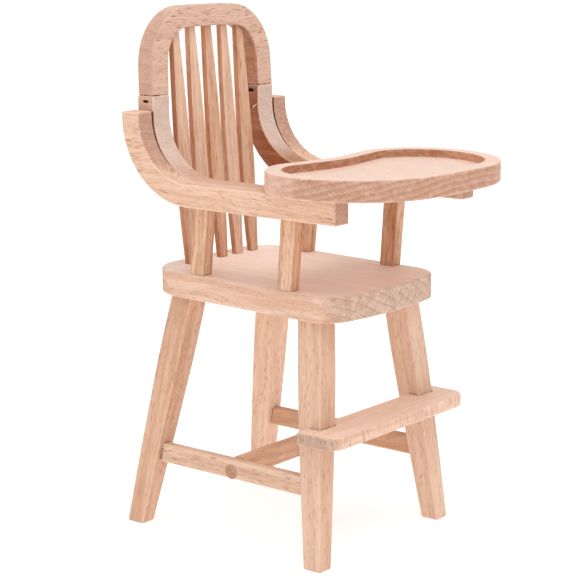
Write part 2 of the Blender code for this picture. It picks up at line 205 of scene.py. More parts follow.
    # A calm board has few dashes on its pale faces, and on a face beside the pith the bars are fainter.
    # End grain has hardly any dashes
    few = add_math(tree, "MULTIPLY", given["Calm"], add_mask(tree, given["Tone"], 0.4, 0.0))
    fleck = add_math(tree, "MULTIPLY", fleck, add_math(tree, "SUBTRACT", 1.0, few))
    facing = add_node(tree, "ShaderNodeSeparateXYZ", Vector=given["Facing"]).outputs
    beside = add_mask(tree, add_math(tree, "ABSOLUTE", facing["Y"]), 0.85, 0.97)
    fainter = add_math(tree, "MULTIPLY", beside, add_math(tree, "SUBTRACT", 1.0, given["Side flecks"]))
    fleck = add_math(tree, "MULTIPLY", fleck, add_math(tree, "SUBTRACT", 1.0, fainter))
    end = add_mask(tree, add_math(tree, "ABSOLUTE", facing["Z"]), 0.30, 0.80)
    fleck = add_math(tree, "MULTIPLY", fleck, add_math(tree, "MULTIPLY_ADD", end, -0.85, 1.0))

    # Long grain: two browns in streaks, darkened by the hairlines, the pores and the ring lines
    dark_lines = (0.62, 0.42, 0.30, 1)
    tone = add_math(tree, "MULTIPLY", broad, 0.60)
    tone = add_math(tree, "MULTIPLY_ADD", fibre, 0.65, tone)
    tone = add_math(tree, "MULTIPLY_ADD", tone, given["Streaks"], add_math(tree, "MULTIPLY", shade, 0.3))
    colour = add_blend(tree, tone, given["Light wood"], given["Dark wood"])
    dark = add_math(tree, "MULTIPLY", hair, given["Hairlines"])
    dark = add_math(tree, "MULTIPLY_ADD", pore, add_math(tree, "MULTIPLY", given["Flecks"], 0.20), dark)
    dark = add_math(tree, "MULTIPLY_ADD", line, 0.12, dark)
    colour = add_blend(tree, dark, colour, dark_lines, "MULTIPLY")

    # End grain: the rings, the pores and the hatch
    dark_rings = (0.62, 0.45, 0.36, 1)
    sawn = add_math(tree, "MULTIPLY_ADD", pore, 0.30, add_math(tree, "ADD", line, shade))
    sawn = add_math(tree, "MULTIPLY_ADD", hatch, given["Hatch"], sawn)
    sawn = add_blend(tree, sawn, given["End grain"], dark_rings, "MULTIPLY")
    colour = add_blend(tree, add_math(tree, "MULTIPLY", end, 0.9), colour, sawn)

    # Over both the rays, a deeper tone where the piece has one, which is partly painted shade, and the
    # pale rubbed edges
    rubbed_wood = (0.92, 0.72, 0.58, 1)
    seen = add_math(tree, "MULTIPLY", fleck, given["Flecks"])
    colour = add_blend(tree, seen, colour, given["Fleck colour"])
    deep = add_math(tree, "MULTIPLY_ADD", broad, 0.5, 0.75)
    deep = add_math(tree, "MULTIPLY", given["Tone"], deep)
    colour = add_blend(tree, deep, colour, given["Tone colour"], "MULTIPLY")
    worn = add_math(tree, "MULTIPLY", given["Edge"], add_math(tree, "MULTIPLY_ADD", fibre, 0.28, 0.06))
    colour = add_blend(tree, worn, colour, rubbed_wood)

    # The surface is dull, and the fibres stand up while pores, hairlines and rays lie deeper
    rough = add_math(tree, "MULTIPLY_ADD", fibre, 0.10, 0.56)
    rough = add_math(tree, "MULTIPLY_ADD", end, 0.12, rough)
    rough = add_math(tree, "MULTIPLY_ADD", worn, 0.25, rough)
    height = add_math(tree, "MULTIPLY", fibre, 0.5)
    height = add_math(tree, "MULTIPLY_ADD", pore, -0.4, height)
    height = add_math(tree, "MULTIPLY_ADD", hair, -0.3, height)
    height = add_math(tree, "MULTIPLY_ADD", fleck, -0.5, height)
    tree.links.new(colour, result["Colour"])
    tree.links.new(rough, result["Roughness"])
    tree.links.new(height, result["Height"])
    return tree


sawn_beech = make_sawn_beech()


def beech(name, grain, growth, light, dark, ends, start=(0, 0, 0), **looks):
    """Wood with its grain along a direction, and growth rings that follow each other along another.

    The pith lies back along the growth. Start shifts the pattern, in millimetres. Looks are values
    of the wood's other inputs, with the inputs' names.
    """
    pith_distance = Vector((40, 0, 0))
    millimetres = (1000, 1000, 1000)
    along = Vector(grain).normalized()
    outward = Vector(growth)
    outward = (outward - along * outward.dot(along)).normalized()
    turn = Matrix((outward, along.cross(outward), along))
    material = bpy.data.materials.new(name)
    material.use_nodes = True
    tree = material.node_tree
    shader = tree.nodes["Principled BSDF"]
    source = add_node(tree, "ShaderNodeTexCoord").outputs
    place = add_node(
        tree, "ShaderNodeMapping", {"vector_type": "POINT"}, Vector=source["Object"],
        Location=turn @ Vector(start) + pith_distance, Rotation=turn.to_euler(),
        Scale=millimetres).outputs[0]
    facing = add_node(
        tree, "ShaderNodeMapping", {"vector_type": "VECTOR"}, Vector=source["Normal"],
        Rotation=turn.to_euler()).outputs[0]
    edge = add_node(tree, "ShaderNodeAttribute", {"attribute_name": "edge"}).outputs["Fac"]
    tone = add_node(tree, "ShaderNodeAttribute", {"attribute_name": "tone"}).outputs["Fac"]
    wood = add_node(
        tree, "ShaderNodeGroup", {"node_tree": sawn_beech}, Place=place, Facing=facing, Edge=edge,
        Tone=tone, Light_wood=(*light, 1), Dark_wood=(*dark, 1), End_grain=(*ends, 1), **looks).outputs
    relief = add_node(tree, "ShaderNodeBump", Strength=0.6, Distance=0.0001, Height=wood["Height"])
    tree.links.new(wood["Colour"], shader.inputs["Base Color"])
    tree.links.new(wood["Roughness"], shader.inputs["Roughness"])
    tree.links.new(relief.outputs["Normal"], shader.inputs["Normal"])
    shader.inputs["Specular IOR Level"].default_value = 0.25
    return material


def shaped_copy(name, node, ends=(), distance=0.0, reach=0.0):
    """Mesh of a solid's shape, with its flat faces whole again.

    Ends, such as -Z, are the glued ones. Their points, those within reach of the end, move outwards
    by a distance, up to what the piece is glued to.
    """
    shape = bmesh.new()
    shape.from_mesh(frame["nodes"][node].data)
    bmesh.ops.remove_doubles(shape, verts=shape.verts, dist=0.00001)
    bmesh.ops.dissolve_limit(
        shape, angle_limit=math.radians(0.5), verts=shape.verts, edges=shape.edges)
    for end in ends:
        side = 1 if end[0] == "+" else -1
        axis = "XYZ".index(end[1])
        tip = max(vertex.co[axis] * side for vertex in shape.verts)
        for vertex in shape.verts:
            if vertex.co[axis] * side > tip - reach:
                vertex.co[axis] += side * distance
    mesh = bpy.data.meshes.new(name)
    shape.to_mesh(mesh)
    shape.free()
    return mesh


def eased(mesh, width):
    """Sands the sharp edges of a mesh round, and marks the rounding for the wood.

    The attribute named edge is 1 on points between narrow faces only, so it fades out at each broad
    face that the rounding meets.
    """
    sharp_angle = math.radians(30)
    smooth_angle = math.radians(50)
    narrow = 0.00011
    shape = bmesh.new()
    shape.from_mesh(mesh)
    sharp = [edge for edge in shape.edges if edge.is_manifold and edge.calc_face_angle() > sharp_angle]
    bmesh.ops.bevel(
        shape, geom=sharp, offset=width, segments=3, profile=0.5, affect="EDGES", clamp_overlap=True)
    bmesh.ops.recalc_face_normals(shape, faces=shape.faces)
    bmesh.ops.dissolve_degenerate(shape, edges=shape.edges, dist=0.000001)
    broad = {face for face in shape.faces if face.calc_area() > narrow * face.calc_perimeter()}
    flags = [0.0 if broad.intersection(vertex.link_faces) else 1.0 for vertex in shape.verts]
    shape.to_mesh(mesh)
    shape.free()
    worn = mesh.attributes.new("edge", "FLOAT", "POINT")
    worn.data.foreach_set("value", flags)
    mesh.shade_smooth()
    mesh.set_sharp_from_angle(angle=smooth_angle)
    return mesh


def toned(mesh, tone):
    """Gives each face its tone, from 0 for pale to 1 for deep, by a rule on its middle and normal. Many
    rules use it for painted light and shade, by the direction a face looks.
    """
    layer = mesh.attributes.new("tone", "FLOAT", "FACE")
    layer.data.foreach_set("value", [tone(face.center, face.normal) for face in mesh.polygons])
    return mesh


def add_piece(name, mesh, material, slot, *nodes):
    """Puts a finished mesh on the chair, in place of its plain solids."""
    mesh.materials.clear()
    mesh.materials.append(material)
    piece = bpy.data.objects.new(name, mesh)
    bpy.context.scene.collection.objects.link(piece)
    weighted = piece.modifiers.new("flat_faces_first", "WEIGHTED_NORMAL")
    weighted.keep_sharp = True
    finished = bpy.data.meshes.new_from_object(
        piece.evaluated_get(bpy.context.evaluated_depsgraph_get()))
    piece.modifiers.clear()
    piece.data = finished
    finished.name = name
    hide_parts(*nodes)
    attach(piece, body)


body = next(iter(frame["bodies"]))
glue_gap = 0.0003
board_easing = 0.00014
wood = beech(
    "seat_wood", (0, 1, 0), (1, 0, 0.6), (0.98, 0.80, 0.70), (0.86, 0.60, 0.48), (0.80, 0.66, 0.57),
    (3, 0, 2), Ring_spacing=1.7, Ring_line=0.6, Ring_shade=0.15, Streaks=0.3, Hairlines=0.2, Flecks=0.45,
    Fleck_length=0.9, Calm=0.85, Fleck_colour=(0.46, 0.25, 0.16, 1), Tone_colour=(0.72, 0.56, 0.45, 1))
mesh = shaped_copy("seat_plank", "seat", ["-Z"], distance=glue_gap / 2, reach=0.0012)
mesh = eased(mesh, board_easing)
# Painted light: the top keeps the palest wood and every other face is deepened, so the top reads lighter
# than the tray's shade leaves it
toned(mesh, lambda middle, normal: 0.0 if normal.z > 0.9 else 0.6 + 0.4 * abs(normal.x))
add_piece("seat_plank", mesh, wood, "seat_beech", "seat")


# Legs: four square-sawn beech bars, thin at the foot and fullest a quarter of the way down from the
# seat. They splay both ways, stand flat on the floor, and are glued into blind holes under the seat.

def solid_points(node):
    """Places of a solid's points."""
    return [vertex.co for vertex in frame["nodes"][node].data.vertices]


def corners(points):
    """Lowest and highest corner of the box round some points."""
    low = Vector(min(point[axis] for point in points) for axis in range(3))
    high = Vector(max(point[axis] for point in points) for axis in range(3))
    return low, high


def level_section(node, height):
    """Middle and size of a bar's section, from the points that its solid has at a height."""
    near = 0.0002
    low, high = corners([point for point in solid_points(node) if abs(point.z - height) < near])
    return (low + high) / 2, high - low


def add_scaling(tree, vector, factor):
    """Vector made longer or shorter by a factor."""
    settings = {"operation": "SCALE"}
    return add_node(tree, "ShaderNodeVectorMath", settings, _0=vector, Scale=factor).outputs[0]


def make_bar_tree():
    """Rule that sets one squared bar on each point, from its foot along its reach to its top.

    A point carries its reach, and the sizes of its bar at foot, swell and top, as vectors.
    """
    tree = bpy.data.node_groups.new("squared_bars", "GeometryNodeTree")
    add_inputs(tree, "NodeSocketGeometry", Geometry=None)
    add_inputs(tree, "NodeSocketFloat", Swell_share=0.5, Roundness=0.5, Unevenness=0.00003)
    add_inputs(tree, "NodeSocketInt", Steps=24)
    add_inputs(tree, "NodeSocketMaterial", Wood=None)
    add_outputs(tree, Geometry="NodeSocketGeometry")
    given = tree.nodes.new("NodeGroupInput").outputs
    result = tree.nodes.new("NodeGroupOutput").inputs

    def carried(name):
        """Vector that every point of a bar carries."""
        return add_node(
            tree, "GeometryNodeInputNamedAttribute", {"data_type": "FLOAT_VECTOR"},
            Name=name).outputs["Attribute"]

    def between(share, first, second):
        """Vector that is a share of the way from the first to the second."""
        return add_node(
            tree, "ShaderNodeMix", {"data_type": "VECTOR"}, _0=share, _4=first, _5=second).outputs[1]

    def rounded_off(share):
        """A straight rise from 0 to 1, bent towards a quarter of a sine wave."""
        curved = add_math(tree, "SINE", add_math(tree, "MULTIPLY", share, math.pi / 2))
        gap = add_math(tree, "SUBTRACT", curved, share)
        return add_math(tree, "MULTIPLY_ADD", gap, given["Roundness"], share)

    # A block on each point, which remembers where its own points were before it was set there
    block = add_node(
        tree, "GeometryNodeMeshCube", Size=(1, 1, 1), Vertices_X=2, Vertices_Y=2,
        Vertices_Z=given["Steps"])
    spot = tree.nodes.new("GeometryNodeInputPosition").outputs[0]
    kept = add_node(
        tree, "GeometryNodeStoreNamedAttribute", {"data_type": "FLOAT_VECTOR", "domain": "POINT"},
        Geometry=block.outputs["Mesh"], Name="block", Value=spot)
    bars = add_node(
        tree, "GeometryNodeInstanceOnPoints", Points=given["Geometry"],
        Instance=kept.outputs["Geometry"])
    whole = add_node(tree, "GeometryNodeRealizeInstances", Geometry=bars.outputs["Instances"])

    # The section at each step, which swells from the foot and thins again to the top
    local = add_node(tree, "ShaderNodeSeparateXYZ", Vector=carried("block")).outputs
    share = add_math(tree, "ADD", local["Z"], 0.5)
    swell = given["Swell share"]
    rising = add_mask(tree, share, 0.0, swell, "LINEAR")
    falling = add_mask(tree, share, 1.0, swell, "LINEAR")
    lower = between(rounded_off(rising), carried("foot_size"), carried("swell_size"))
    upper = between(rounded_off(falling), carried("top_size"), carried("swell_size"))
    size = between(add_math(tree, "GREATER_THAN", share, swell), lower, upper)

    # Each point's place: along the reach, out to its corner, and a little off, as by hand
    base = add_vector_math(tree, "SUBTRACT", spot, carried("block"))
    middle = add_vector_math(tree, "ADD", base, add_scaling(tree, carried("reach"), share))
    flat = add_node(tree, "ShaderNodeCombineXYZ", X=local["X"], Y=local["Y"], Z=0.0).outputs[0]
    place = add_vector_math(tree, "ADD", middle, add_vector_math(tree, "MULTIPLY", flat, size))
    hand = add_node(tree, "ShaderNodeTexNoise", Vector=spot, Scale=3.0, Detail=1.0).outputs["Color"]
    hand = add_vector_math(tree, "SUBTRACT", hand, (0.5, 0.5, 0.5))
    hand = add_vector_math(tree, "MULTIPLY", hand, (1, 1, 0))
    place = add_vector_math(tree, "ADD", place, add_scaling(tree, hand, given["Unevenness"]))
    shaped = add_node(
        tree, "GeometryNodeSetPosition", Geometry=whole.outputs["Geometry"], Position=place)
    dressed = add_node(
        tree, "GeometryNodeSetMaterial", Geometry=shaped.outputs["Geometry"], Material=given["Wood"])
    tree.links.new(dressed.outputs["Geometry"], result["Geometry"])
    return tree


squared_bars = make_bar_tree()


def run_tree(tree, name, mesh, **values):
    """Plain mesh that a tree makes from a mesh, with the tree's inputs set by their names."""
    carrier = bpy.data.objects.new(name, mesh)
    bpy.context.scene.collection.objects.link(carrier)
    modifier = carrier.modifiers.new(name, "NODES")
    modifier.node_group = tree
    for socket in tree.interface.items_tree:
        value_name = socket.name.replace(" ", "_")
        if socket.in_out == "INPUT" and value_name in values:
            modifier[socket.identifier] = values[value_name]
    made = bpy.data.meshes.new_from_object(
        carrier.evaluated_get(bpy.context.evaluated_depsgraph_get()))
    bpy.data.objects.remove(carrier)
    made.name = name
    return made


def bar_group(name, bars, wood, swell_share, roundness, steps=24, unevenness=0.00003):
    """Mesh of several bars. A bar is its foot, its top, and its sizes at foot, swell and top."""
    points = bpy.data.meshes.new(name + "_points")
    points.from_pydata([bar[0] for bar in bars], [], [])
    for attribute, index in (("foot_size", 2), ("swell_size", 3), ("top_size", 4)):
        layer = points.attributes.new(attribute, "FLOAT_VECTOR", "POINT")
        layer.data.foreach_set("vector", [value for bar in bars for value in bar[index]])
    layer = points.attributes.new("reach", "FLOAT_VECTOR", "POINT")
    layer.data.foreach_set("vector", [value for bar in bars for value in bar[1] - bar[0]])
    return run_tree(
        squared_bars, name, points, Swell_share=swell_share, Roundness=roundness, Steps=steps,
        Unevenness=unevenness, Wood=wood)


shoulder_drop = 0.0027
swell_height = 0.034
leg_easing = 0.0003
stick_ends = (0.60, 0.38, 0.28)
pale_stick = (0.88, 0.605, 0.445), (0.67, 0.40, 0.27)
brown_stick = (0.765, 0.525, 0.385), (0.58, 0.345, 0.235)
leg_looks = (
    ("leg_front_right", (-1, -0.8, 0), brown_stick, 0.05, 0.25),
    ("leg_front_left", (-0.8, -1, 0), brown_stick, 0.0, 0.0),
    ("leg_rear_right", (-1, -0.6, 0), brown_stick, 0.35, 0.35),
    ("leg_rear_left", (-0.7, -1, 0), pale_stick, 0.0, 0.0))
for number, (node, growth, (light, dark), side_tone, front_tone) in enumerate(leg_looks):
    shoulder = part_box(node)[1].z - shoulder_drop
    foot, foot_size = level_section(node, 0)
    swell, swell_size = level_section(node, swell_height)
    top, top_size = level_section(node, shoulder)
    reach = (top - foot) * (top.z - foot.z + glue_gap) / (top.z - foot.z)
    wood = beech(
        node + "_wood", reach, growth, light, dark, stick_ends,
        (5 + 11 * number, 3, 17 * number), Streaks=0.38, Hairlines=0.55, Flecks=0.48, Fleck_length=1.5)
    bar = (foot, foot + reach, foot_size, swell_size, top_size)
    mesh = bar_group(node + "_bar", [bar], wood, swell_share=swell_height / top.z, roundness=0.5)
    mesh = eased(mesh, leg_easing)
    toned(mesh, lambda middle, normal: front_tone if abs(normal.y) > 0.7 else side_tone)
    add_piece(node + "_bar", mesh, wood, "leg_beech", node)


# Stretchers: one thin bar between the legs of each side, and one between those two bars. The cross
# stretcher's round tenon fills its bore right through them, and its darker end shows on the outer face.

side_stretcher_easing = 0.0002
side_woods = (
    ("side_stretcher_right", (0.75, 0.525, 0.39), (0.53, 0.30, 0.19)),
    ("side_stretcher_left", (0.71, 0.42, 0.27), (0.46, 0.22, 0.11)))
for number, (node, light, dark) in enumerate(side_woods):
    wood = beech(
        node + "_wood", (0, 1, 0.01), (1, 0, 0.3), light, dark, stick_ends, (0, 9 * number, 4),
        Streaks=0.55, Hairlines=0.3, Flecks=0.7)
    mesh = shaped_copy(node + "_bar", node, ["+Y", "-Y"], distance=glue_gap, reach=0.0012)
    add_piece(node + "_bar", eased(mesh, side_stretcher_easing), wood, "side_stretcher_beech", node)

cross_stretcher_easing = 0.00015
tenon_clearance = 0.00018
cross_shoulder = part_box("side_stretcher_left")[0].x - glue_gap
just_past_shoulder = cross_shoulder + 0.0001
well_past_shoulder = cross_shoulder + 0.001
tenon_low, tenon_high = corners(
    [point for point in solid_points("cross_stretcher") if point.x > well_past_shoulder])
wood = beech(
    "cross_stretcher_wood", (1, 0, 0), (0, -1, 0.4), (0.76, 0.48, 0.33), (0.54, 0.28, 0.16),
    (0.50, 0.29, 0.20), Streaks=0.7, Flecks=0.6)
mesh = shaped_copy("cross_stretcher_bar", "cross_stretcher")
for vertex in mesh.vertices:
    if abs(vertex.co.x) > just_past_shoulder:
        away = vertex.co - (tenon_low + tenon_high) / 2
        away.x = 0
        vertex.co += away.normalized() * tenon_clearance
mesh = eased(mesh, cross_stretcher_easing)
add_piece("cross_stretcher_bar", mesh, wood, "cross_stretcher_beech", "cross_stretcher")


# Footrest: a thin board with its grain across the chair and its two front corners rounded, notched
# at the back to clasp the front legs, where it is glued. Its front edge shows the rays as upright bars.

wood = beech(
    "footrest_wood", (1, 0, 0), (0, 0.12, 1), (0.88, 0.655, 0.53), (0.72, 0.46, 0.33), (0.60, 0.47, 0.39),
    Ring_spacing=1.4, Ring_line=0.1, Ring_shade=0.1, Streaks=0.4, Hairlines=0.15, Flecks=0.9,
    Fleck_length=0.34, Ray_depth=5.0, Ray_width=1.0, Ray_spread=1.6, Side_flecks=1.0, Calm=0.9,
    Hatch=0.9, Fleck_colour=(0.56, 0.37, 0.26, 1))
mesh = eased(shaped_copy("footrest_board", "footrest"), board_easing)
# Painted light: the top keeps the palest wood and the edges are deepened, so the top reads lighter than
# its edges
toned(mesh, lambda middle, normal: 0.0 if normal.z > 0.9 else 0.35)
add_piece("footrest_board", mesh, wood, "footrest_beech", "footrest")


# Arm posts: four short square bars between the seat and the back rails, leaning forward a little.
# Their wood is more strongly streaked than the legs', and each is glued flat at both ends.

post_easing = 0.0002
# Painted shade: each post's faces are deepened by their direction, most on the front of the near front
# post and the inner side of the far one, which lie in shade under the tray
post_looks = (
    ("arm_post_front_right", 0.05, 0.75), ("arm_post_front_left", 0.50, 0.20),
    ("arm_post_rear_right", 0.05, 0.45), ("arm_post_rear_left", 0.30, 0.30))
for number, (node, side_tone, front_tone) in enumerate(post_looks):
    low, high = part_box(node)
    foot, foot_size = level_section(node, low.z)
    top, top_size = level_section(node, high.z)
    up = (top - foot) / (high.z - low.z) * glue_gap
    wood = beech(
        node + "_wood", top - foot, (-1, -0.8, 0), (0.84, 0.58, 0.42), (0.56, 0.28, 0.14), stick_ends,
        (13 * number, 6, 5), Streaks=0.7, Hairlines=0.7, Flecks=0.75)
    bar = (foot - up, top + up, foot_size, (foot_size + top_size) / 2, top_size)
    mesh = bar_group(node + "_bar", [bar], wood, swell_share=0.5, roundness=0.0, steps=10)
    mesh = eased(mesh, post_easing)
    # Painted shade on the fronts and sides, by the tones above
    toned(mesh, lambda middle, normal: front_tone if abs(normal.y) > 0.7 else side_tone)
    add_piece(node + "_bar", mesh, wood, "post_beech", node)


# Arms: two bars sawn to a J from one board each, level over the posts and bent up behind. The grain
# runs from front to back, so that it is cut across on the front of the upright end. Above the bend
# the joint with the rail gapes a little, and the front end rises to meet the tray.

front_reach = 0.002
top_reach = 0.001
seam_reach = 0.0004
seam_closing = 0.00025


def arm_level(node):
    """Height of an arm's level top, which is its highest point near the front end."""
    points = solid_points(node)
    front = min(point.y for point in points)
    return max(point.z for point in points if point.y < front + front_reach)


for number, (node, inner) in enumerate((("arm_right", 1), ("arm_left", -1))):
    wood = beech(
        node + "_wood", (0, 1, 0.05), (1, 0, 0.15), (0.80, 0.54, 0.40), (0.61, 0.35, 0.21),
        (0.54, 0.325, 0.24), (0, 15 * number, 7), Ring_shade=0.1, Ring_line=0.1, Streaks=0.5,
        Hairlines=0.5, Flecks=0.9, Fleck_length=2.2, Hatch=0.55)
    mesh = shaped_copy(node + "_bar", node)
    low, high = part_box(node)
    seam_side = high.x if inner > 0 else low.x
    level_top = arm_level(node)
    for vertex in mesh.vertices:
        if vertex.co.y < low.y + front_reach and vertex.co.z > level_top - top_reach:
            vertex.co.z += glue_gap
        if abs(vertex.co.x - seam_side) < seam_reach:
            climb = max(0.0, min(1.0, (vertex.co.z - level_top) / (high.z - level_top)))
            vertex.co.x += inner * seam_closing * (1 - climb ** 0.5)
    add_piece(node + "_bar", eased(mesh, board_easing), wood, "arm_beech", node)


# Back rails: the same J, glued inside each arm and reaching higher. Their curved front faces are cut
# nearly across the grain, which leaves them greyer. The slot near the top is tighter on the right.

slot_reach = 0.00015
rail_grain = (0, 1, 0.03)
rail_growth = (1, 0, -0.2)
# The left rail's browns are partly its darker wood and partly painted shade, for the inside of the back
# where it lies in shade
rail_looks = (
    ("back_rail_right", 1, (0.68, 0.44, 0.33), (0.50, 0.27, 0.18), 0.0001),
    ("back_rail_left", -1, (0.50, 0.25, 0.155), (0.33, 0.14, 0.075), 0.0))
for number, (node, inner, light, dark, slot_closing) in enumerate(rail_looks):
    wood = beech(
        node + "_wood", rail_grain, rail_growth, light, dark, (0.70, 0.54, 0.46),
        (0, 21 * number, 11), Ring_shade=0.06, Ring_line=0.12, Streaks=0.5, Hairlines=0.4, Flecks=0.7,
        Fleck_length=2.2, Hatch=0.2)
    mesh = shaped_copy(node + "_bar", node)
    slot_low, slot_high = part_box(node.replace("back_rail", "brad"))
    for vertex in mesh.vertices:
        away = vertex.co - (slot_low + slot_high) / 2
        in_depth = abs(away.y) < (slot_high.y - slot_low.y) / 2 + slot_reach
        in_height = abs(away.z) < (slot_high.z - slot_low.z) / 2 + slot_reach
        if in_depth and in_height:
            vertex.co.y -= math.copysign(slot_closing / 2, away.y)
            vertex.co.z -= math.copysign(slot_closing, away.z)
    mesh = eased(mesh, board_easing)
    # Painted shade: the inner face of each rail, inside the back, gets the deepest tone
    toned(mesh, lambda middle, normal: 1.0 if normal.x * inner > 0.9 else 0.0)
    add_piece(node + "_bar", mesh, wood, "rail_beech", node)


# Splinter: a pale sliver that lifted from the inner face of the left back rail when it was sawn. It
# is a thin curved flake, pointed at both ends, and still holds on by its lower end.

def add_extra(name, mesh):
    """Puts a mesh on the chair that stands for no solid of its own."""
    piece = bpy.data.objects.new(name, mesh)
    bpy.context.scene.collection.objects.link(piece)
    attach(piece, body)


rail_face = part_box("back_rail_left")[0].x
root = Vector((rail_face, 0.02708, 0.07797))
tip = Vector((rail_face, 0.02590, 0.07893))
half_widths = (
    (0.0, 0.00002), (0.15, 0.0001), (0.4, 0.00016), (0.7, 0.00013), (0.9, 0.00007), (1.0, 0.00001))
sideways_bend = 0.00012
lift_at_root = 0.00005
lift_to_tip = 0.00014
across = Vector((0, tip.z - root.z, root.y - tip.y)).normalized()
shape = bmesh.new()
rows = []
for share, half_width in half_widths:
    middle = root.lerp(tip, share) + across * sideways_bend * math.sin(share * math.pi)
    lift = Vector((-lift_at_root - lift_to_tip * share, 0, 0))
    rows.append([
        shape.verts.new(middle - across * half_width),
        shape.verts.new(middle + lift),
        shape.verts.new(middle + across * half_width)])
for row, after in zip(rows, rows[1:]):
    for left in (0, 1):
        shape.faces.new((row[left], row[left + 1], after[left + 1], after[left]))
    shape.faces.new((row[2], row[0], after[0], after[2]))
shape.faces.new((rows[0][0], rows[0][2], rows[0][1]))
shape.faces.new((rows[-1][0], rows[-1][1], rows[-1][2]))
bmesh.ops.recalc_face_normals(shape, faces=shape.faces)
mesh = bpy.data.meshes.new("rail_splinter")
shape.to_mesh(mesh)
shape.free()
fresh_wood = (0.86, 0.66, 0.54)
wood = beech(
    "splinter_wood", rail_grain, rail_growth, fresh_wood, (0.70, 0.46, 0.34), fresh_wood, Streaks=0.5,
    Flecks=0.2)
mesh.materials.append(wood)
add_extra("rail_splinter", mesh)


# Brads: a dark flat nail through the top of each back rail, sunk a little below the wood. It is driven
# in tight, so that it fills its slot nearly to the edges.

def mottled(name, dark, light, spots, detail, shine, metal=0.0):
    """Dull material in two colours, with so many soft spots to a metre."""
    material = bpy.data.materials.new(name)
    material.use_nodes = True
    tree = material.node_tree
    shader = tree.nodes["Principled BSDF"]
    source = add_node(tree, "ShaderNodeTexCoord").outputs
    spot = add_node(
        tree, "ShaderNodeTexNoise", Vector=source["Object"], Scale=spots, Detail=detail).outputs["Fac"]
    tree.links.new(add_blend(tree, spot, dark, light), shader.inputs["Base Color"])
    tree.links.new(add_math(tree, "MULTIPLY_ADD", spot, 0.3, 0.6), shader.inputs["Roughness"])
    shader.inputs["Metallic"].default_value = metal
    shader.inputs["Specular IOR Level"].default_value = shine
    return material


brad_steel = mottled(
    "dark_brad", (0.012, 0.004, 0.003, 1), (0.04, 0.014, 0.01, 1), spots=4000.0, detail=3.0, shine=0.05,
    metal=0.15)
brad_easing = 0.00005
for node in ("brad_right", "brad_left"):
    mesh = shaped_copy(node + "_nail", node, ["+Y", "-Y", "+Z", "-Z"], distance=0.0001, reach=0.0001)
    add_piece(node + "_nail", eased(mesh, brad_easing), brad_steel, "brad_steel", node)


# Spindles: five flat slats with their grain upright, thin at the top and full below the middle, let
# into the bow and standing on the seat. They were sawn from unlike sticks, so their tones differ.

belly_height = 0.068
spindle_easing = 0.00018
# Painted shade on each slat's narrow sides, which face the slats beside them
narrow_side_shade = 0.85
spindle_tones = {
    "spindle_1": 0.10, "spindle_2": 0.0, "spindle_3": 0.50, "spindle_4": 0.0, "spindle_5": 0.35}
slats = []
middles = {}
for node in spindle_tones:
    low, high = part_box(node)
    foot, foot_size = level_section(node, low.z)
    belly, belly_size = level_section(node, belly_height)
    top, top_size = level_section(node, high.z)
    up = (top - foot) / (high.z - low.z) * glue_gap
    slats.append((foot - up, top, foot_size, belly_size, top_size))
    middles[node] = belly.x


def slat_tone_and_shade(middle, normal):
    """A slat's own tone, and painted shade on the two narrow sides, which lie in the shade of the slats
    beside them.
    """
    nearest = min(middles, key=lambda node: abs(middles[node] - middle.x))
    return spindle_tones[nearest] + (narrow_side_shade if abs(normal.x) > 0.7 else 0.0)


wood = beech(
    "spindle_wood", (0, 0.085, 1), (-0.8, -1, 0), (0.80, 0.555, 0.41), (0.50, 0.24, 0.12), stick_ends,
    (2, 7, 0), Ring_spacing=2.2, Ring_shade=0.3, Streaks=0.42, Hairlines=0.5, Flecks=0.7,
    Fleck_length=2.4, Calm=0.5)
mesh = bar_group(
    "spindles", slats, wood, swell_share=0.39, roundness=0.6, steps=40, unevenness=0.0001)
mesh = toned(eased(mesh, spindle_easing), slat_tone_and_shade)
add_piece("spindles", mesh, wood, "spindle_beech", *spindle_tones)


# Back bow: an upside-down U sawn from one board with its grain across, butted and glued onto the
# tops of the back rails. Short dark flecks run along the grain on its front, and its sides are end grain.

# Painted shade on the inner sides of the bow's uprights
inner_side_shade = 0.75
wood = beech(
    "back_bow_wood", (1, 0, 0), (0, -1, 0.15), (0.71, 0.48, 0.37), (0.55, 0.32, 0.22), (0.60, 0.37, 0.275),
    Ring_spacing=3.0, Ring_shade=0.1, Streaks=0.4, Hairlines=0.3, Flecks=0.9, Fleck_length=1.7)
mesh = shaped_copy("back_bow_arch", "back_bow", ["-Z"], distance=glue_gap, reach=0.0006)
mesh = eased(mesh, board_easing)


def bow_painted_shade(middle, normal):
    """Pale but for painted shade on the inner side of each upright."""
    return inner_side_shade if normal.x * middle.x < -0.3 * abs(middle.x) else 0.0


add_piece("back_bow_arch", toned(mesh, bow_painted_shade), wood, "bow_beech", "back_bow")


# Glue: brown beads that were squeezed out and dried, in a thin line down each bend between arm and
# rail, and in dots round the butt joints under the bow and the right stretcher's rear end.

